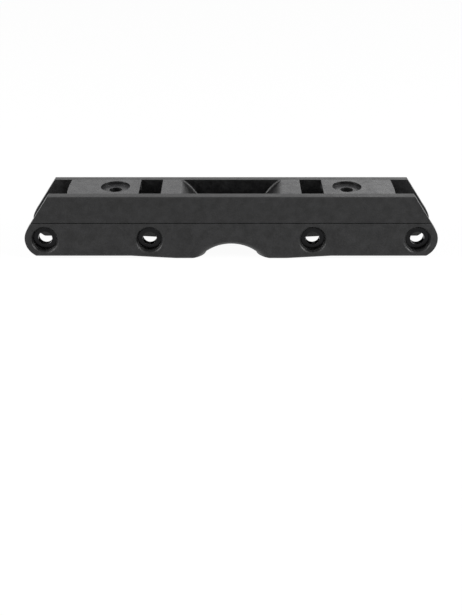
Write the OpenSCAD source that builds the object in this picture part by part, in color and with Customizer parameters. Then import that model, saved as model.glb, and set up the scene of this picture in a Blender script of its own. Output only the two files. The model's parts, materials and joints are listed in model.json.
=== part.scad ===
// Aggressive inline skate frame, bare: no wheels, axles or boot bolts fitted.
// Millimetres. X runs along the frame, +X to the front. Y runs across it, +Y to the left. Z is up.
// The origin lies under the middle of the frame, at the level of its lowest rim.

/* [Boot mount] */
// Distance between the two boot bolts
bolt_spacing = 167; // [160:0.5:174]
// Clearance hole for a boot bolt
bolt_hole_d = 9; // [6:0.1:10]
// Round recess in the deck for the boss under the boot
boss_recess_d = 21; // [16:0.5:24]
// Depth of that recess
boss_recess_depth = 2.5; // [1:0.1:4]
// Thickness of the front and rear decks
deck_t = 9.5; // [7:0.1:11]
// Length of a deck, from the middle of the frame to its outer end
deck_reach = 117.1; // [112:0.1:122]
// How far a deck's outer end bows out
deck_bow = 0.5; // [0.3:0.1:2]
// Length of the wheel slot in a deck
slot_l = 15.9; // [10:0.1:20]
// How far the middle of that slot lies inwards of the axle
slot_shift = 0.6; // [0:0.1:2]

/* [Wheels and axles] */
// Distance between the outer axles
wheelbase = 267; // [255:0.5:280]
// Distance between the two inner axles
inner_spacing = 117; // [110:0.5:124]
// Height of the axles above the lowest rim
axle_z = 14.5; // [13:0.1:17]
// Height of the deck above the axles
deck_above_axle = 32.5; // [31:0.1:36]
// Radius of the space cleared for a wheel
wheel_space_r = 32; // [28:0.1:32.4]
// Space between the two walls
wheel_gap = 27.2; // [25:0.1:30]
// Round of an inner wheel space where it meets the walls
inner_shoulder_r = 7; // [3:0.1:10]
// Chamfer of an outer wheel space where it meets the walls
outer_chamfer = 2; // [0.5:0.1:5]
// Bore for an axle
axle_bore_d = 10; // [8:0.1:11]
// Recess for an axle's head
head_recess_d = 17; // [15.5:0.1:19]
// Depth of the head recess below the face of the wall
head_recess_depth = 4.2; // [3:0.1:5]
// Round of the recess lip
lip_r = 1.6; // [0.5:0.05:2.5]

/* [Axle bushes] */
// Outside of a bush
bush_d = 13; // [12:0.1:14.5]
// Flange of a bush, which sits on the floor of the head recess
bush_flange_d = 16; // [15:0.1:17]
// Thickness of that flange
bush_flange_t = 1; // [0.6:0.1:1.5]

/* [Rails and side walls] */
// Thickness of a rail
rail_t = 6.4; // [5:0.1:9]
// Height of a rail, from the seam to the deck
rail_h = 20.5; // [18:0.1:23]
// How far a rail's top slopes down to its outer edge
rail_slope = 0.2; // [0.1:0.1:1.5]
// Round of the rail's top outer edge
rail_round = 1; // [0.4:0.1:2]
// How far a side wall flares out between the seam and the lowest rim
wall_flare = 3.5; // [1:0.1:5]
// Round of the wall's bottom outer edge
rim_round = 2.3; // [1:0.1:4]
// How much higher the rim is under the outer wheels
rim_lift = 1.75; // [0.5:0.05:3]
// Where the rim starts to drop, from the middle of the frame
rim_drop_from = 72; // [64:1:90]
// Where the rim has reached its lowest level
rim_drop_to = 40; // [36:1:50]
// Round of the wall's end, about the outer axle
end_r = 14.3; // [13:0.1:16]
// Half length of the rail along its top edge
rail_top_reach = 129.6; // [122:0.1:133]
// Height of the open groove along the seam
seam_gap = 0.5; // [0.2:0.05:1]
// Depth of that groove
seam_depth = 1.2; // [0.5:0.1:1.6]
// Chamfer of the wall's outer edge below the seam
seam_edge = 0.4; // [0.2:0.05:0.8]

/* [H-block] */
// Radius of the arch of the saddle
saddle_r = 29.5; // [26:0.5:40]
// Height of the crest of the saddle
saddle_z = 9.65; // [7:0.05:12]
// Round of the saddle's two side edges
saddle_round = 6.5; // [3:0.1:8]
// Half width of the saddle between its rounds
saddle_flat = 16; // [14.5:0.1:17]
// Thickness of the saddle at its crest
saddle_t = 6.5; // [4:0.1:9]
// Thickness of the curved web round an inner wheel
web_t = 7.1; // [4:0.1:9]
// Fillet between a web and the faces beside it
web_fillet = 1.2; // [0.5:0.1:2]
// Distance from the middle of the frame to the front of a wheel pod's rim
pod_front = 18.1; // [16:0.1:21]
// Round of the pod's corners, seen from below
pod_corner_r = 14.5; // [10:0.5:18]
// Round of the pod's rim where it faces the saddle
pod_edge_r = 5; // [1:0.1:5.5]
// Slope in degrees at which that round runs out into the saddle
pod_edge_slope = 50; // [40:1:70]

/* [Joints between the mouldings] */
// Width of a tongue
tongue_w = 2; // [1.5:0.1:3]
// Height of a tongue
tongue_h = 3; // [2:0.1:5]
// Half length of the tongue along a side wall
tongue_reach = 118; // [80:1:122]
// Clearance round a tongue in its groove
tongue_clear = 0.1; // [0.05:0.05:0.3]
// Length of the key on each side of the saddle
key_l = 20; // [10:1:24]
// Height of that key
key_h = 3; // [2:0.1:4]

/* [Hidden] */
$fn = 96;
// How far a cut runs past what it cuts
over = 2;

gap_y = wheel_gap / 2;
rail_y = gap_y + rail_t;
rim_y = rail_y + wall_flare;
deck_z = axle_z + deck_above_axle;
seam_z = deck_z - rail_h;
outer_x = wheelbase / 2;
inner_x = inner_spacing / 2;
bolt_x = bolt_spacing / 2;
frame_x = outer_x + end_r;
web_r = wheel_space_r + web_t;
bow_r = (gap_y * gap_y + deck_bow * deck_bow) / (2 * deck_bow);

// The flared face: its lean from the vertical, and its half width at a height
flare_angle = atan(wall_flare / seam_z);
function face_y(z) = rail_y + wall_flare * (seam_z - z) / seam_z;

// The slanted end runs from the top corner to the end round, which it touches at end_angle above the axle
corner_dx = outer_x - rail_top_reach;
end_angle = acos(end_r / norm([corner_dx, deck_above_axle])) - atan(corner_dx / deck_above_axle);
slant_angle = 90 - end_angle;
touch = [outer_x + end_r * cos(slant_angle), axle_z + end_r * sin(slant_angle)];

// Level of the rim on the front ramp, which joins the belly to the rim under the outer wheels
function ramp_z(x) = rim_lift * (x - rim_drop_to) / (rim_drop_from - rim_drop_to);

pod_centre = [pod_front + pod_corner_r, rim_y - pod_corner_r];
saddle_axis_z = saddle_z - saddle_r;
saddle_floor_z = saddle_z + saddle_t;
bush_seat_y = face_y(axle_z) - head_recess_depth;

BUSHES = [
    ["bush_front_outer_left", outer_x, 1],
    ["bush_front_inner_left", inner_x, 1],
    ["bush_rear_inner_left", -inner_x, 1],
    ["bush_rear_outer_left", -outer_x, 1],
    ["bush_front_outer_right", outer_x, -1],
    ["bush_front_inner_right", inner_x, -1],
    ["bush_rear_inner_right", -inner_x, -1],
    ["bush_rear_outer_right", -outer_x, -1]
];

// Draws its profile, given as x and z, between two values of y
module along_y(from, to) {
    translate([0, to, 0]) rotate([90, 0, 0]) linear_extrude(to - from) children();
}

// Draws its profile, given as y and z, between two values of x
module along_x(from, to) {
    translate([from, 0, 0]) rotate([90, 0, 90]) linear_extrude(to - from) children();
}

// Turns its profile, given as radius and y, about a crosswise axis
module about_y(x, z) {
    translate([x, 0, z]) rotate([-90, 0, 0]) rotate_extrude() children();
}

// Repeats at the front and the rear
module both_ends() {
    children();
    mirror([1, 0, 0]) children();
}

// Repeats on the left and the right
module both_sides() {
    children();
    mirror([0, 1, 0]) children();
}

// Cuts a convex corner to a round: the corner is at the origin, its faces run along -x and at
// face_angle from that, and the waste reaches past both faces
module corner_waste(r, face_angle) {
    reach = r / tan(face_angle / 2);
    face_dir = [-cos(face_angle), sin(face_angle)];
    centre = [-reach, r];
    difference() {
        polygon([centre, [-reach, 0], [-reach, -over], [over, -over], reach * face_dir + [over, 0],
            reach * face_dir]);
        translate(centre) circle(r);
    }
}

// Side view of the frame, open below: a section sets the level of its rim
module side_outline() {
    polygon([
        [-rail_top_reach, deck_z], [-touch[0], touch[1]], [-outer_x, axle_z], [-outer_x, -over],
        [outer_x, -over], [outer_x, axle_z], touch, [rail_top_reach, deck_z]
    ]);
    for (x = [-outer_x, outer_x]) translate([x, axle_z]) circle(end_r);
}

// Side view of the belly under the inner wheels, open below like the frame's: its two ramps meet under
// the middle, and run up on the outside until they are well inside the rest of the wall
module belly_outline() {
    far_x = 2 * rim_drop_from - rim_drop_to;
    polygon([
        [-far_x, seam_z + over], [-far_x, ramp_z(far_x)], [0, ramp_z(0)],
        [far_x, ramp_z(far_x)], [far_x, seam_z + over]
    ]);
}

// Space for one inner wheel: round above the axle, straight below it
module inner_wheel_space() {
    about_y(inner_x, axle_z) inner_wheel_profile();
    translate([inner_x, 0, -over]) linear_extrude(axle_z + over) rotate(180) inner_wheel_profile();
}

// Half of an inner wheel's section across the gap, given as radius and y, with its shoulders rounded
module inner_wheel_profile() {
    flat_r = wheel_space_r - inner_shoulder_r;
    flat_y = gap_y - inner_shoulder_r;
    translate([0, -gap_y]) square([flat_r, wheel_gap]);
    translate([0, -flat_y]) square([wheel_space_r, 2 * flat_y]);
    for (s = [-1, 1]) translate([flat_r, s * flat_y]) circle(inner_shoulder_r);
}

// Half of an outer wheel's section, with its shoulders chamfered
module outer_wheel_profile() {
    flat_r = wheel_space_r - outer_chamfer;
    flat_y = gap_y - outer_chamfer;
    polygon([
        [0, -gap_y], [flat_r, -gap_y], [wheel_space_r, -flat_y], [wheel_space_r, flat_y], [flat_r, gap_y],
        [0, gap_y]
    ]);
}

// Plan of what lies between the two wheel pods
module pod_gap() {
    difference() {
        square(2 * [pod_centre[0], rim_y + over], center = true);
        for (s = [0, 1]) mirror([s, 0]) {
            translate([pod_front, -pod_centre[1]]) square([2 * pod_corner_r, 2 * pod_centre[1]]);
            for (t = [-1, 1]) translate([pod_centre[0], t * pod_centre[1]]) circle(pod_corner_r);
        }
    }
}

// Rounds the rim of the pods along their fronts and round their corners
module pod_edge_waste() {
    both_ends() {
        translate([pod_front, 0, 0]) along_y(-pod_centre[1], pod_centre[1])
            mirror([1, 0]) corner_waste(pod_edge_r, 180 - pod_edge_slope);
        both_sides() translate(pod_centre) rotate_extrude(start = 90, angle = 90)
            translate([pod_corner_r, 0]) corner_waste(pod_edge_r, 180 - pod_edge_slope);
    }
}

// The saddle's hollow: an arch turned about a crosswise axis, flaring where the side edges are rounded
module saddle_hollow() {
    flange_r = saddle_r + saddle_round;
    edge_y = saddle_flat + saddle_round;
    side = rim_y + over;
    intersection() {
        translate([0, 0, -over]) linear_extrude(saddle_floor_z + saddle_round + over) pod_gap();
        about_y(0, saddle_axis_z) union() {
            translate([0, -side]) square([saddle_r, 2 * side]);
            for (s = [0, 1]) mirror([0, s]) {
                translate([0, edge_y]) square([flange_r, side - edge_y]);
                difference() {
                    translate([0, saddle_flat]) square([flange_r, saddle_round]);
                    translate([flange_r, saddle_flat]) circle(saddle_round);
                }
            }
        }
    }
}

// Rounds the left wall's bottom outer edge along the front ramp, whose edge rises and draws in with the flare
module ramp_waste() {
    run_x = 2 * (rim_drop_from - rim_drop_to);
    run_z = 2 * rim_lift;
    run = [run_x, -run_z * tan(flare_angle), run_z];
    rise = atan(run_z / run_x);
    turn = asin(run[1] / norm(run));
    lean = atan2(cos(rise) * sin(flare_angle),
        cos(turn) * cos(flare_angle) - sin(turn) * sin(rise) * sin(flare_angle));
    translate([rim_drop_to, face_y(0), 0]) rotate([0, -rise, 0]) rotate(turn)
        along_x(-over, norm(run) + over) corner_waste(rim_round, 90 - lean);
}

// Rounds the left wall's front end about the outer axle, from the slanted edge down to the rim
module end_waste() {
    translate([outer_x, 0, axle_z]) rotate([-90, 0, 0])
        rotate_extrude(start = -slant_angle, angle = slant_angle + 90)
            translate([end_r, face_y(rim_lift)]) rotate(90) corner_waste(rim_round, 90);
}

// Bores, head recesses and rounded lips for the four axles in the left wall
module axle_seats() {
    for (x = [-outer_x, -inner_x, inner_x, outer_x]) translate([x, 0, axle_z]) {
        rotate([-90, 0, 0]) cylinder(d = bush_d, h = rim_y);
        translate([0, bush_seat_y, 0]) rotate([-90, 0, 0]) cylinder(d = head_recess_d, h = rim_y);
        translate([0, face_y(axle_z), 0]) rotate([flare_angle - 90, 0, 0]) rotate_extrude() difference() {
            translate([0, -lip_r]) square([head_recess_d / 2 + lip_r, lip_r + over]);
            translate([head_recess_d / 2 + lip_r, -lip_r]) circle(lip_r);
        }
    }
}

// Tongue along the top of the left wall, grown by a clearance where it is a groove
module wall_tongue(grow) {
    middle_y = gap_y + rail_t / 2;
    translate([-tongue_reach - grow, middle_y - tongue_w / 2 - grow, seam_z - over])
        cube([2 * (tongue_reach + grow), tongue_w + 2 * grow, tongue_h + over + grow]);
}

// Tongue on top of the front web of the H-block
module web_tongue(grow) {
    middle_r = wheel_space_r + web_t / 2;
    middle_x = inner_x - sqrt(pow(middle_r, 2) - pow(seam_z + tongue_h / 2 - axle_z, 2));
    half_y = gap_y - inner_shoulder_r;
    translate([middle_x - tongue_w / 2 - grow, -half_y - grow, seam_z - over])
        cube([tongue_w + 2 * grow, 2 * (half_y + grow), tongue_h + over + grow]);
}

// Fillet of the front web against the face on its left, between two levels: it meets both at a small angle
module web_bead(from, to) {
    leg = web_fillet;
    centre = [web_r + 1.5 * leg, gap_y - 1.5 * leg];
    intersection() {
        translate([inner_x - web_r - over, 0, from]) cube([web_r + over, gap_y, to - from]);
        about_y(inner_x, axle_z) difference() {
            translate([web_r - over, gap_y - leg]) square([over + leg, leg]);
            translate(centre) circle(leg * norm([1.5, 0.5]));
        }
    }
}

// Key on the left side of the saddle
module saddle_key(grow) {
    middle_z = saddle_z + saddle_t / 2;
    translate([-key_l / 2 - grow, gap_y - over, middle_z - key_h / 2 - grow])
        cube([key_l + 2 * grow, tongue_w + over + grow, key_h + 2 * grow]);
}

// Two rails, the two decks between them, and the upper part of the webs
module upper_chassis() {
    color("#3a3a3b") difference() {
        union() {
            both_sides() intersection() {
                along_y(gap_y, rail_y) side_outline();
                rail_section();
            }
            both_ends() {
                deck();
                both_sides() web_bead(seam_z, deck_z);
            }
        }
        both_ends() {
            about_y(inner_x, axle_z) inner_wheel_profile();
            about_y(outer_x, axle_z) outer_wheel_profile();
            boot_bolt_hole();
            translate([inner_x - slot_shift - slot_l / 2, -gap_y, deck_z - deck_t])
                cube([slot_l, wheel_gap, deck_t + over]);
            web_tongue(tongue_clear);
        }
        both_sides() {
            wall_tongue(tongue_clear);
            translate([-frame_x - over, rail_y - seam_depth, seam_z - over])
                cube([2 * (frame_x + over), seam_depth + over, over + seam_gap]);
        }
    }
}

// Section of the left rail: its top slopes out, and the outer edge is rounded
module rail_section() {
    slope = atan(rail_slope / rail_t);
    along_x(-frame_x - over, frame_x + over) difference() {
        polygon([[gap_y, seam_z], [rail_y, seam_z], [rail_y, deck_z - rail_slope], [gap_y, deck_z]]);
        translate([rail_y, deck_z - rail_slope]) rotate(90) corner_waste(rail_round, 90 + slope);
    }
}

// Front deck with its web, before the wheel spaces are cut
module deck() {
    along_y(-gap_y, gap_y) intersection() {
        translate([0, seam_z]) square([inner_x, rail_h]);
        translate([inner_x, axle_z]) circle(web_r);
    }
    intersection() {
        translate([inner_x, -gap_y, deck_z - deck_t]) cube([deck_reach - inner_x, wheel_gap, deck_t]);
        translate([deck_reach - bow_r, 0, seam_z]) cylinder(r = bow_r, h = rail_h + over, $fn = 360);
    }
}

// Boot bolt's hole and boss recess in the front deck
module boot_bolt_hole() {
    translate([bolt_x, 0, 0]) {
        translate([0, 0, seam_z]) cylinder(d = bolt_hole_d, h = rail_h + over);
        translate([0, 0, deck_z - boss_recess_depth])
            cylinder(d = boss_recess_d, h = boss_recess_depth + over);
    }
}

// Section of the left wall above a level of its rim: it flares out below the chamfered edge at the seam
module wall_section(rim_z) {
    difference() {
        polygon([
            [gap_y, rim_z], [face_y(rim_z), rim_z], [face_y(seam_z - seam_edge), seam_z - seam_edge],
            [rail_y - seam_edge, seam_z], [gap_y, seam_z]
        ]);
        translate([face_y(rim_z), rim_z]) corner_waste(rim_round, 90 - flare_angle);
    }
}

// Left wall over a side view, with its rim at one level
module wall_blank(rim_z) {
    intersection() {
        along_x(-frame_x - over, frame_x + over) wall_section(rim_z);
        along_y(gap_y - over, rim_y + over) children();
    }
}

// Flared lower wall of the left side, with its axle seats and its half of the arch
module left_side_wall() {
    color("#3e3e3f") difference() {
        union() {
            difference() {
                wall_blank(rim_lift) side_outline();
                both_ends() end_waste();
            }
            difference() {
                wall_blank(0) belly_outline();
                both_ends() ramp_waste();
            }
            wall_tongue(0);
        }
        axle_seats();
        saddle_hollow();
        pod_edge_waste();
        saddle_key(tongue_clear);
    }
}

// The right side is the left one's mirror image
module right_side_wall() {
    mirror([0, 1, 0]) left_side_wall();
}

// Core between the walls: the saddle, the two pod fronts and the lower part of the webs
module h_block() {
    reach = inner_x - wheel_space_r + inner_shoulder_r;
    color("#39393a") difference() {
        union() {
            along_y(-gap_y, gap_y) difference() {
                translate([-reach, 0]) square([2 * reach, seam_z]);
                difference() {
                    translate([-reach, saddle_floor_z]) square([2 * reach, seam_z]);
                    for (x = [-inner_x, inner_x]) translate([x, axle_z]) circle(web_r);
                }
            }
            both_sides() saddle_key(0);
            both_ends() {
                web_tongue(0);
                both_sides() web_bead(saddle_floor_z - over, seam_z);
            }
        }
        both_ends() inner_wheel_space();
        saddle_hollow();
        pod_edge_waste();
    }
}

// Flanged bush that lines one axle hole, given by its place along the frame and its side
module axle_bush(x, side) {
    flange_y = bush_seat_y + bush_flange_t;
    color("#242426") mirror([0, side < 0 ? 1 : 0, 0]) translate([x, 0, axle_z]) rotate([-90, 0, 0])
        difference() {
            union() {
                translate([0, 0, gap_y]) cylinder(d = bush_d, h = flange_y - gap_y);
                translate([0, 0, bush_seat_y]) cylinder(d = bush_flange_d, h = bush_flange_t);
            }
            cylinder(d = axle_bore_d, h = rim_y);
        }
}

upper_chassis();
left_side_wall();
right_side_wall();
h_block();
for (b = BUSHES) axle_bush(b[1], b[2]);
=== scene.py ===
# %% [markdown]
# # A moulded frame for an inline skate
# The real object is a bare skate frame for grinding: two flared side walls, an upper chassis with two
# decks for the boot, and a core between the walls with an arched saddle. All of them are taken to be
# injection moulded in black nylon, with steel bushes in the axle holes. The solids come from the packed
# model, at their real size and place. This script gives them their finish, a camera and a studio.

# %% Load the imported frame
import json
import math

import bpy
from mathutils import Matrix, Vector


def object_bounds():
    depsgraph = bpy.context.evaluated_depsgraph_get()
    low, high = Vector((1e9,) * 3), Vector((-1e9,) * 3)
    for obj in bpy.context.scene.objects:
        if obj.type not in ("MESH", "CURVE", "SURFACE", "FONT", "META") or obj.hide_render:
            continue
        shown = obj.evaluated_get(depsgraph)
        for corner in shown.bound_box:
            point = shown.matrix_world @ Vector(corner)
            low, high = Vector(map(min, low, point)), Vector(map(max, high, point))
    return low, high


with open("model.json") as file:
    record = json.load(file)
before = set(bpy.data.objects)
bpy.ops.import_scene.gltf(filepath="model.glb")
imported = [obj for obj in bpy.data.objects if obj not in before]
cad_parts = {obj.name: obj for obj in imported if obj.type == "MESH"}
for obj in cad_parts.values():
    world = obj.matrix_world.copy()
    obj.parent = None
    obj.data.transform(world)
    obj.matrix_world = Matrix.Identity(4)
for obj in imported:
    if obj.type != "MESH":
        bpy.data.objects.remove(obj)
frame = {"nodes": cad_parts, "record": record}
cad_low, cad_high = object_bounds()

scene = bpy.context.scene
nodes = frame["nodes"]
size_mm = [round(1000 * length, 1) for length in cad_high - cad_low]
print("nodes:", len(nodes), "size in mm:", size_mm)

# %% [markdown]
# ## The camera
# A photograph's perspective is fixed by three things: where the camera stood, its focal length, and the
# point of the picture that its optical axis went through. The bolt holes are 167 mm apart on such frames,
# and with that length a fit of the holes, the corners and the seam gave all three. The frame sits in the
# upper half of the picture, so the lens is shifted instead of the camera being tilted: the perspective
# then stays as it was.

# %% Place the camera
PICTURE_W = 462
PICTURE_H = 616
FOCAL_PX = 996.2
AXIS_PX = (231.2, 216.7)
CAMERA_DISTANCE = 0.7287
CAMERA_ELEVATION = math.radians(23.46)
TARGET_Z = 0.02325
SENSOR_MM = 36
NEAREST_SEEN = 0.01

camera_data = bpy.data.cameras.new("camera")
camera_data.sensor_width = SENSOR_MM
camera_data.lens = FOCAL_PX * SENSOR_MM / PICTURE_H
camera_data.shift_x = (PICTURE_W / 2 - AXIS_PX[0]) / PICTURE_H
camera_data.shift_y = (AXIS_PX[1] - PICTURE_H / 2) / PICTURE_H
camera_data.clip_start = NEAREST_SEEN
camera = bpy.data.objects.new("camera", camera_data)
scene.collection.objects.link(camera)
backwards = Vector((0, -math.cos(CAMERA_ELEVATION), math.sin(CAMERA_ELEVATION)))
camera.location = Vector((0, 0, TARGET_Z)) + CAMERA_DISTANCE * backwards
camera.rotation_euler = (math.pi / 2 - CAMERA_ELEVATION, 0, 0)
scene.camera = camera
scene.view_settings.view_transform = "Standard"
print("lens in mm:", round(camera_data.lens, 1), "shift:", round(camera_data.shift_y, 3))

# %% [markdown]
# ## Helpers for node trees
# Every finish here is a tree of nodes. A few short helpers keep such trees readable: one sets or links an
# input, one adds a node with its inputs by name, one does a sum, one turns a range of values into a soft
# mask, and one blends two colours. A Mix node has sockets for every kind of data, so the colour ones go
# by number.

# %% Node helpers
MIX_BELOW = 6
MIX_ABOVE = 7
MIX_RESULT = 2


def put(tree, value, socket):
    if isinstance(value, bpy.types.NodeSocket):
        tree.links.new(value, socket)
    else:
        socket.default_value = value


def add_node(tree, kind, inputs=None, **settings):
    node = tree.nodes.new(kind)
    for name, value in settings.items():
        setattr(node, name, value)
    for name, value in (inputs or {}).items():
        put(tree, value, node.inputs[name])
    return node


def sum_of(tree, operation, *values):
    return add_node(tree, "ShaderNodeMath", dict(enumerate(values)), operation=operation).outputs[0]


def soft_mask(tree, value, start, end):
    inputs = {"Value": value, "From Min": start, "From Max": end}
    return add_node(tree, "ShaderNodeMapRange", inputs, interpolation_type="SMOOTHSTEP").outputs[0]


def blend(tree, mask, below, above):
    inputs = {0: mask, MIX_BELOW: below, MIX_ABOVE: above}
    return add_node(tree, "ShaderNodeMix", inputs, data_type="RGBA").outputs[MIX_RESULT]


print("sums, masks and blends ready")

# %% [markdown]
# ## Helpers for groups
# An effect that several materials share is a group: a tree of its own, with named inputs and outputs. One
# helper starts a group, and the other places it in a material's tree and hands back its outputs.


# %% Group helpers
def start_group(name, inputs, outputs):
    group = bpy.data.node_groups.new(name, "ShaderNodeTree")
    for label, default in inputs.items():
        socket = group.interface.new_socket(label, in_out="INPUT", socket_type="NodeSocketFloat")
        socket.default_value = default
    for label, kind in outputs.items():
        group.interface.new_socket(label, in_out="OUTPUT", socket_type="NodeSocket" + kind)
    given = group.nodes.new("NodeGroupInput").outputs
    result = group.nodes.new("NodeGroupOutput").inputs
    return group, given, result


def grouped(tree, group, inputs=None):
    return add_node(tree, "ShaderNodeGroup", inputs, node_tree=group).outputs


print("group helpers ready")

# %% [markdown]
# ## The floor
# The frame stands on a wide floor. It lies a tenth of a millimetre low, because two faces in one plane
# would flicker.

# %% Floor mesh
FLOOR_HALF = 3.0
FLOOR_DROP = 0.0001

floor_z = cad_low.z - FLOOR_DROP
signs = [(-1, -1), (1, -1), (1, 1), (-1, 1)]
corners = [(FLOOR_HALF * x, FLOOR_HALF * y, floor_z) for x, y in signs]
floor_mesh = bpy.data.meshes.new("floor")
floor_mesh.from_pydata(corners, [], [(0, 1, 2, 3)])
floor = bpy.data.objects.new("floor", floor_mesh)
scene.collection.objects.link(floor)
print("floor at z =", round(1000 * floor_z, 2), "mm")

# %% [markdown]
# ## The floor's paint
# For every ray that lights the frame the floor is a matt white surface, so it throws light up under the
# flared walls. For rays from the camera, and for those that mirror or pass through something, most of the
# white is an emission of nearly 1 and the rest is the lit surface: the background is white, and a soft
# shadow stays under the frame. Seen from underneath the floor is clear, so that the frame's underside can
# be looked at.

# %% Floor paint
FLOOR_GLOW = 0.95
FLOOR_MATT = (0.9, 0.9, 0.9, 1)
FLOOR_REST = (0.08, 0.08, 0.08, 1)


def seen_or_mirrored(tree):
    path = add_node(tree, "ShaderNodeLightPath").outputs
    seen = sum_of(tree, "MAXIMUM", path["Is Camera Ray"], path["Is Glossy Ray"])
    return sum_of(tree, "MAXIMUM", seen, path["Is Transmission Ray"])


floor_paint = bpy.data.materials.new("floor_white")
floor_paint.use_nodes = True
tree = floor_paint.node_tree
tree.nodes.clear()
matt = add_node(tree, "ShaderNodeBsdfDiffuse", {"Color": FLOOR_MATT}).outputs[0]
rest = add_node(tree, "ShaderNodeBsdfDiffuse", {"Color": FLOOR_REST}).outputs[0]
glow = add_node(tree, "ShaderNodeEmission", {"Strength": FLOOR_GLOW}).outputs[0]
shown = add_node(tree, "ShaderNodeAddShader", {0: rest, 1: glow}).outputs[0]
upper = add_node(tree, "ShaderNodeMixShader", {0: seen_or_mirrored(tree), 1: matt, 2: shown}).outputs[0]
clear = add_node(tree, "ShaderNodeBsdfTransparent").outputs[0]
back = add_node(tree, "ShaderNodeNewGeometry").outputs["Backfacing"]
both = add_node(tree, "ShaderNodeMixShader", {0: back, 1: upper, 2: clear}).outputs[0]
add_node(tree, "ShaderNodeOutputMaterial", {"Surface": both})
floor_mesh.materials.append(floor_paint)
print("paint:", floor_paint.name, "with", len(tree.nodes), "nodes")

# %% [markdown]
# ## The room
# A dark plastic thing is lit by what it mirrors as much as by what falls on it. The room is white where
# it is seen or mirrored, which gives the decks their grey sheen at a flat angle. As a lamp it is dimmer,
# and dimmest overhead, which keeps the pocket and the wheel slots dark. The height of a ray's direction,
# 0 at the horizon and 1 overhead, drives that fall.

# %% Room
ROOM_LOW = 0.42
ROOM_HIGH = 0.08
FALL_START = 0.2
FALL_END = 0.9
WHITE = (1, 1, 1, 1)

room = bpy.data.worlds.new("room")
room.use_nodes = True
scene.world = room
tree = room.node_tree
tree.nodes.clear()
direction = add_node(tree, "ShaderNodeTexCoord").outputs["Generated"]
height = add_node(tree, "ShaderNodeSeparateXYZ", {0: direction}).outputs["Z"]
fill = add_node(
    tree, "ShaderNodeMapRange",
    {
        "Value": height, "From Min": FALL_START, "From Max": FALL_END,
        "To Min": ROOM_LOW, "To Max": ROOM_HIGH,
    },
).outputs[0]
dim = add_node(tree, "ShaderNodeBackground", {"Color": WHITE, "Strength": fill}).outputs[0]
white = add_node(tree, "ShaderNodeBackground", {"Color": WHITE, "Strength": 1.0}).outputs[0]
either = add_node(tree, "ShaderNodeMixShader", {0: seen_or_mirrored(tree), 1: dim, 2: white}).outputs[0]
add_node(tree, "ShaderNodeOutputWorld", {"Surface": either})
print("room from", ROOM_LOW, "at the horizon to", ROOM_HIGH, "overhead")

# %% [markdown]
# ## The lamps
# Two softboxes at the sides, a little in front and half a metre up, draw the light lines on rounded
# edges, such as the lips of the axle recesses and the fillets of the webs. A weak one behind on the right
# lifts the front deck a little above the rear one. A softbox is described by how bright its face is, and
# its power follows.


# %% Lamps
def softbox(name, place, width, depth, brightness):
    data = bpy.data.lights.new(name, "AREA")
    data.shape = "RECTANGLE"
    data.size = width
    data.size_y = depth
    data.energy = brightness * math.pi * width * depth
    lamp = bpy.data.objects.new(name, data)
    lamp.location = place
    towards = Vector((0, 0, TARGET_Z)) - Vector(place)
    lamp.rotation_euler = towards.to_track_quat("-Z", "Y").to_euler()
    scene.collection.objects.link(lamp)
    print(name, "watts:", round(data.energy, 2))


softbox("right_softbox", (1.0, -0.3, 0.55), width=0.5, depth=0.5, brightness=12.0)
softbox("left_softbox", (-1.0, -0.3, 0.55), width=0.5, depth=0.5, brightness=10.0)
softbox("back_softbox", (0.8, 1.6, 0.8), width=1.2, depth=0.5, brightness=0.7)

# %% [markdown]
# ## Spark-eroded grain
# The mould of such a part is often spark eroded, which leaves a fine even grain of small pits on the
# plastic. It could be a displaced mesh, but a grain of under a millimetre would need millions of faces,
# so it is a bump. The group adds a noise and small cells for the height, gives the same noise as a
# speckle for the colour, and has slow patches of a few millimetres too. Object coordinates are in metres
# here, so a scale is simply the number of grains in a metre.

# %% Grain group
CELLS_PER_GRAIN = 0.7

grain_group, given, result = start_group(
    "moulded_grain",
    {"Grains per metre": 1800.0, "Patches per metre": 160.0, "Pits": 0.4},
    {"Height": "Float", "Speckle": "Float", "Patches": "Float"},
)
place = add_node(grain_group, "ShaderNodeTexCoord").outputs["Object"]
speckle = add_node(
    grain_group, "ShaderNodeTexNoise",
    {"Vector": place, "Scale": given["Grains per metre"], "Detail": 3.0, "Roughness": 0.6},
).outputs[0]
cell_scale = sum_of(grain_group, "MULTIPLY", given["Grains per metre"], CELLS_PER_GRAIN)
cells = add_node(
    grain_group, "ShaderNodeTexVoronoi",
    {"Vector": place, "Scale": cell_scale, "Smoothness": 0.6}, feature="SMOOTH_F1",
).outputs["Distance"]
pits = sum_of(grain_group, "MULTIPLY", cells, given["Pits"])
patches = add_node(
    grain_group, "ShaderNodeTexNoise",
    {"Vector": place, "Scale": given["Patches per metre"], "Detail": 4.0, "Roughness": 0.65},
).outputs[0]
put(grain_group, sum_of(grain_group, "ADD", speckle, pits), result["Height"])
put(grain_group, speckle, result["Speckle"])
put(grain_group, patches, result["Patches"])
print("group:", grain_group.name, "with", len(grain_group.nodes), "nodes")

# %% [markdown]
# ## Worn edges
# A moulded edge is never sharp, and handling polishes and pales it first. The Bevel node looks round an
# edge and gives the normal of a small round there, without a change to the mesh. Where that normal leaves
# the surface's own one, there is an edge. It finds hollow corners too, and those don't wear, so an
# occlusion term keeps the mask to the edges that stand out. A noise breaks the line up.

# %% Edge group
EDGE_SAMPLES = 6
TURN_LIMITS = (0.01, 0.16)
SKY_REACH = 0.0015
SKY_LIMITS = (0.6, 0.9)
BLOTCH_LIMITS = (0.3, 0.65)

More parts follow.
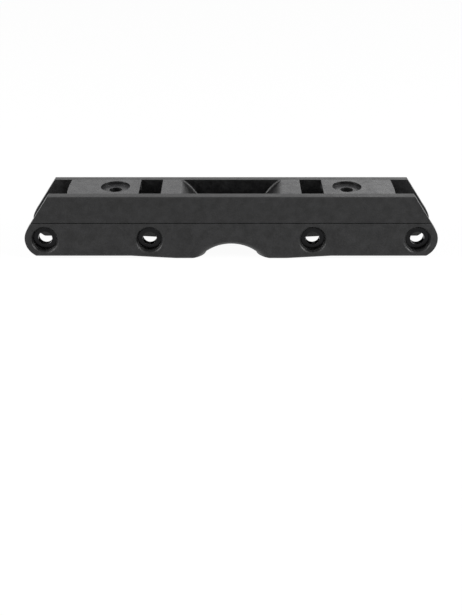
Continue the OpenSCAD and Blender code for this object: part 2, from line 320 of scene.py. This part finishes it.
edge_group, given, result = start_group(
    "worn_edges",
    {"Round in metres": 0.0004, "Blotches per metre": 900.0},
    {"Mask": "Float", "Normal": "Vector"},
)
rounded = add_node(
    edge_group, "ShaderNodeBevel", {"Radius": given["Round in metres"]}, samples=EDGE_SAMPLES,
).outputs[0]
own = add_node(edge_group, "ShaderNodeNewGeometry").outputs["Normal"]
facing = add_node(edge_group, "ShaderNodeVectorMath", {0: rounded, 1: own}, operation="DOT_PRODUCT")
turn = sum_of(edge_group, "SUBTRACT", 1.0, facing.outputs["Value"])
turned = soft_mask(edge_group, turn, *TURN_LIMITS)
open_sky = add_node(
    edge_group, "ShaderNodeAmbientOcclusion", {"Distance": SKY_REACH}, samples=EDGE_SAMPLES,
).outputs["AO"]
standing = soft_mask(edge_group, open_sky, *SKY_LIMITS)
place = add_node(edge_group, "ShaderNodeTexCoord").outputs["Object"]
blotches = add_node(
    edge_group, "ShaderNodeTexNoise",
    {"Vector": place, "Scale": given["Blotches per metre"], "Detail": 3.0},
).outputs[0]
patchy = sum_of(edge_group, "MULTIPLY", standing, soft_mask(edge_group, blotches, *BLOTCH_LIMITS))
put(edge_group, sum_of(edge_group, "MULTIPLY", turned, patchy), result["Mask"])
put(edge_group, rounded, result["Normal"])
print("group:", edge_group.name, "with", len(edge_group.nodes), "nodes")

# %% [markdown]
# ## Black nylon
# All the mouldings share one recipe with their own values: a dark base that drifts with the speckle and
# the patches, a roughness that drifts with them, paler and smoother worn edges, and the grain as a bump
# on top of the rounded normal. The specular level is a little under the usual one, to match the
# photograph's greys. The tone swings widely, because on so dark a plastic the mirrored room shows more
# than the colour does.

# %% Nylon recipe
BLUE_TINT = 1.04
NYLON_SPECULAR = 0.38
PATCH_SHARE = 0.6
TONE_LIMITS = (0.3, 0.7)
TONE_SWING = 0.9
ROUGHNESS_DRIFT = 0.16
WORN_SMOOTHING = 0.08


def grey(value):
    return (value, value, BLUE_TINT * value, 1)


def black_nylon(name, shade, worn, roughness, grains, depth):
    paint = bpy.data.materials.new(name)
    paint.use_nodes = True
    tree = paint.node_tree
    shader = tree.nodes["Principled BSDF"]
    shader.inputs["Specular IOR Level"].default_value = NYLON_SPECULAR
    grain = grouped(tree, grain_group, {"Grains per metre": grains})
    edges = grouped(tree, edge_group)
    fine = sum_of(tree, "MULTIPLY", grain["Speckle"], 1 - PATCH_SHARE)
    drift = sum_of(tree, "MULTIPLY_ADD", grain["Patches"], PATCH_SHARE, fine)
    tone = soft_mask(tree, drift, *TONE_LIMITS)
    colour = blend(tree, tone, grey((1 - TONE_SWING) * shade), grey((1 + TONE_SWING) * shade))
    put(tree, blend(tree, edges["Mask"], colour, grey(worn)), shader.inputs["Base Color"])
    uneven = sum_of(tree, "MULTIPLY_ADD", tone, ROUGHNESS_DRIFT, roughness - ROUGHNESS_DRIFT / 2)
    smoothed = sum_of(tree, "MULTIPLY_ADD", edges["Mask"], -WORN_SMOOTHING, uneven)
    put(tree, smoothed, shader.inputs["Roughness"])
    inputs = {"Height": grain["Height"], "Distance": depth, "Normal": edges["Normal"]}
    put(tree, add_node(tree, "ShaderNodeBump", inputs).outputs[0], shader.inputs["Normal"])
    print("finish:", name, "with", len(tree.nodes), "nodes")
    return paint


# %% [markdown]
# ## Three nylons
# The chassis and the walls have the coarser grain. The core between the walls is smoother, and a little
# darker, as it looks from below: that darker colour is painted shade for the hollow between the walls.
# The chassis's roughness has a name, because the decks' finish starts from it.

# %% Three nylons
CHASSIS_ROUGHNESS = 0.4

chassis_nylon = black_nylon(
    "chassis_nylon", shade=0.01, worn=0.05, roughness=CHASSIS_ROUGHNESS, grains=1300.0, depth=0.00013,
)
wall_nylon = black_nylon(
    "wall_nylon", shade=0.011, worn=0.05, roughness=0.42, grains=1200.0, depth=0.00014,
)
# painted shade: the core's darker colour stands in for the shade between the walls
block_nylon = black_nylon(
    "block_nylon", shade=0.009, worn=0.04, roughness=0.34, grains=2200.0, depth=0.00004,
)

# %% [markdown]
# ## The decks' tops
# The two decks are painted paler than the rails beside them: a painted sheen for the light that their
# up-facing tops catch from above. They are also smoother, perhaps because the boot's plate has to sit flat
# there. They are faces of the chassis, so they can't have a material of their own without a cut in the
# mesh.
# A mask does it instead: it is 1 where a face looks up, lies between the rails and is no deeper than the
# floor of the recesses for the boot's bosses. Where the decks roll over into the webs it fades with the
# depth, and the rails get a small share of it.

# %% Deck mask
ROLL_BELOW = (0.0022, 0.0006)
ROLL_FACING = (0.2, 0.6)
FLAT_FACING = (0.93, 0.98)
FLOOR_MARGIN = 0.0003
DECK_HALF = 0.0136
DECK_BLUR = 0.0002
RAIL_SHARE = 0.2

mounts = {mount["name"]: mount for mount in frame["record"]["mounts"]}
recess_depth = mounts["front_boss_recess"]["dims"]["length_mm"] / 1000
deck_z = cad_high.z
tree = chassis_nylon.node_tree
space = add_node(tree, "ShaderNodeTexCoord").outputs
split = add_node(tree, "ShaderNodeSeparateXYZ", {0: space["Object"]}).outputs
upward = add_node(tree, "ShaderNodeSeparateXYZ", {0: space["Normal"]}).outputs["Z"]
high = soft_mask(tree, split["Z"], deck_z - ROLL_BELOW[0], deck_z - ROLL_BELOW[1])
rolling = sum_of(tree, "MULTIPLY", high, soft_mask(tree, upward, *ROLL_FACING))
over_floor = sum_of(tree, "GREATER_THAN", split["Z"], deck_z - recess_depth - FLOOR_MARGIN)
flat = sum_of(tree, "MULTIPLY", over_floor, soft_mask(tree, upward, *FLAT_FACING))
sideways = sum_of(tree, "ABSOLUTE", split["Y"])
between = soft_mask(tree, sideways, DECK_HALF + DECK_BLUR, DECK_HALF - DECK_BLUR)
share = sum_of(tree, "MULTIPLY_ADD", between, 1 - RAIL_SHARE, RAIL_SHARE)
# this mask carries a painted sheen on the up-facing tops as well as their smoother finish
deck_sheen_and_smoothness = sum_of(tree, "MULTIPLY", sum_of(tree, "MAXIMUM", rolling, flat), share)
print("deck level in mm:", round(1000 * deck_z, 1), "recess depth in mm:", round(1000 * recess_depth, 1))

# %% [markdown]
# ## The decks' painted sheen and finish
# The mask blends in a paler colour, which is painted sheen, and a lower roughness. The roughness also
# drifts more on the decks: its difference from the chassis's middle value is stretched there.

# %% Deck sheen and finish
# painted sheen: the pale colour of the decks' tops stands in for the light they catch from above
DECK_PAINTED_SHEEN = 0.052
DECK_ROUGHNESS = -0.1
DECK_DRIFT = 1.9

shader = tree.nodes["Principled BSDF"]
nylon_colour = shader.inputs["Base Color"].links[0].from_socket
nylon_roughness = shader.inputs["Roughness"].links[0].from_socket
# the painted sheen is blended onto the deck tops here
put(tree, blend(tree, deck_sheen_and_smoothness, nylon_colour, grey(DECK_PAINTED_SHEEN)), shader.inputs["Base Color"])
off_middle = sum_of(tree, "SUBTRACT", nylon_roughness, CHASSIS_ROUGHNESS)
change = sum_of(tree, "MULTIPLY_ADD", off_middle, DECK_DRIFT - 1, DECK_ROUGHNESS)
put(tree, sum_of(tree, "MULTIPLY_ADD", deck_sheen_and_smoothness, change, nylon_roughness), shader.inputs["Roughness"])
print("decks in:", chassis_nylon.name, "with", len(tree.nodes), "nodes")

# %% [markdown]
# ## Distance from the nearest axle
# Two finishes need to know how far a point is from the axle next to it: the lips in the walls and the
# tool marks on the bushes. The axles lie at two distances from the middle, at the front and the rear
# alike, so the lengthwise coordinate is folded at the middle first, and the nearer of the two axles
# counts. The record's mounts give their places, as the group's inputs.

# %% Axle group
inner_x, _, axle_z = mounts["front_inner_axle"]["pos_m"]
outer_x = mounts["front_outer_axle"]["pos_m"][0]
axle_group, given, result = start_group(
    "axle_distance",
    {"Inner axle": inner_x, "Outer axle": outer_x, "Axle height": axle_z},
    {"Radius": "Float"},
)
place = add_node(axle_group, "ShaderNodeTexCoord").outputs["Object"]
split = add_node(axle_group, "ShaderNodeSeparateXYZ", {0: place}).outputs
folded = sum_of(axle_group, "ABSOLUTE", split["X"])
to_inner = sum_of(axle_group, "ABSOLUTE", sum_of(axle_group, "SUBTRACT", folded, given["Inner axle"]))
to_outer = sum_of(axle_group, "ABSOLUTE", sum_of(axle_group, "SUBTRACT", folded, given["Outer axle"]))
along = sum_of(axle_group, "MINIMUM", to_inner, to_outer)
above = sum_of(axle_group, "SUBTRACT", split["Z"], given["Axle height"])
squares = sum_of(axle_group, "MULTIPLY_ADD", along, along, sum_of(axle_group, "MULTIPLY", above, above))
put(axle_group, sum_of(axle_group, "SQRT", squares), result["Radius"])
print("group:", axle_group.name, "with", len(axle_group.nodes), "nodes")

# %% [markdown]
# ## Dished lips
# The solids have a round of 1.6 mm at the lip of each axle recess. In the photograph the wall sinks more
# softly towards it, over two or three millimetres, and a light line shows there at the lower left and the
# lower right. A bump widens the round that much. Its height is in metres, and its depth is judged.
# It belongs to the outer faces alone, and the distance from the frame's middle tells them from the inner
# ones.

# %% Dish bump
DISH_OUTER = 0.0108
DISH_INNER = 0.0083
DISH_DEPTH = 0.0008
OUTER_FACE_Y = 0.016

tree = wall_nylon.node_tree
shader = tree.nodes["Principled BSDF"]
radius = grouped(tree, axle_group)["Radius"]
sunk = soft_mask(tree, radius, DISH_OUTER, DISH_INNER)
place = add_node(tree, "ShaderNodeTexCoord").outputs["Object"]
sideways = sum_of(tree, "ABSOLUTE", add_node(tree, "ShaderNodeSeparateXYZ", {0: place}).outputs["Y"])
outside = sum_of(tree, "GREATER_THAN", sideways, OUTER_FACE_Y)
dish = sum_of(tree, "MULTIPLY", sum_of(tree, "MULTIPLY", sunk, outside), -DISH_DEPTH)
grained = shader.inputs["Normal"].links[0].from_socket
dished = add_node(tree, "ShaderNodeBump", {"Height": dish, "Distance": 1.0, "Normal": grained}).outputs[0]
put(tree, dished, shader.inputs["Normal"])
print("dishes from", round(1000 * DISH_INNER, 1), "to", round(1000 * DISH_OUTER, 1), "mm")

# %% [markdown]
# ## Blackened steel
# The bushes are taken to be turned from steel and blackened, so they are dark, a little shiny, and marked
# by the tool in fine rings round the bore. A sine of the distance from the axle draws those rings as a
# bump of a thousandth or two of a millimetre. Where the black has rubbed off at an edge, the bare steel
# is paler.

# %% Bush finish
RING_PITCH = 0.0002
RING_HEIGHT = 0.0000015
BUSH_ROUND = 0.0002
BUSH_GRAINS = 3000.0
OXIDE_DARK = 0.011
OXIDE_PALE = 0.02
BARE_STEEL = 0.1
STEEL_ROUGHNESS = 0.14
SPECKLE_ROUGHNESS = 0.16

bush_steel = bpy.data.materials.new("bush_steel")
bush_steel.use_nodes = True
tree = bush_steel.node_tree
shader = tree.nodes["Principled BSDF"]
shader.inputs["Metallic"].default_value = 1.0
turns = sum_of(tree, "MULTIPLY", grouped(tree, axle_group)["Radius"], 2 * math.pi / RING_PITCH)
rings = sum_of(tree, "SINE", turns)
edges = grouped(tree, edge_group, {"Round in metres": BUSH_ROUND})
grain = grouped(tree, grain_group, {"Grains per metre": BUSH_GRAINS})
oxide = blend(tree, grain["Patches"], grey(OXIDE_DARK), grey(OXIDE_PALE))
put(tree, blend(tree, edges["Mask"], oxide, grey(BARE_STEEL)), shader.inputs["Base Color"])
uneven = sum_of(tree, "MULTIPLY_ADD", grain["Speckle"], SPECKLE_ROUGHNESS, STEEL_ROUGHNESS)
put(tree, uneven, shader.inputs["Roughness"])
inputs = {"Height": rings, "Distance": RING_HEIGHT, "Normal": edges["Normal"]}
put(tree, add_node(tree, "ShaderNodeBump", inputs).outputs[0], shader.inputs["Normal"])
print("finish:", bush_steel.name, "with", len(tree.nodes), "nodes")

# %% [markdown]
# ## Put the finishes on
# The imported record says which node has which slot, so a finish goes to all the nodes of its slot by name.

# %% Assign the finishes
finishes = {
    "chassis_nylon": chassis_nylon,
    "wall_nylon": wall_nylon,
    "block_nylon": block_nylon,
    "bush_steel": bush_steel,
}
for subpart in frame["record"]["subparts"]:
    mesh = nodes[subpart["node"]].data
    mesh.materials.clear()
    mesh.materials.append(finishes[subpart["material_slot"]])
    print(subpart["node"], "has", subpart["material_slot"])
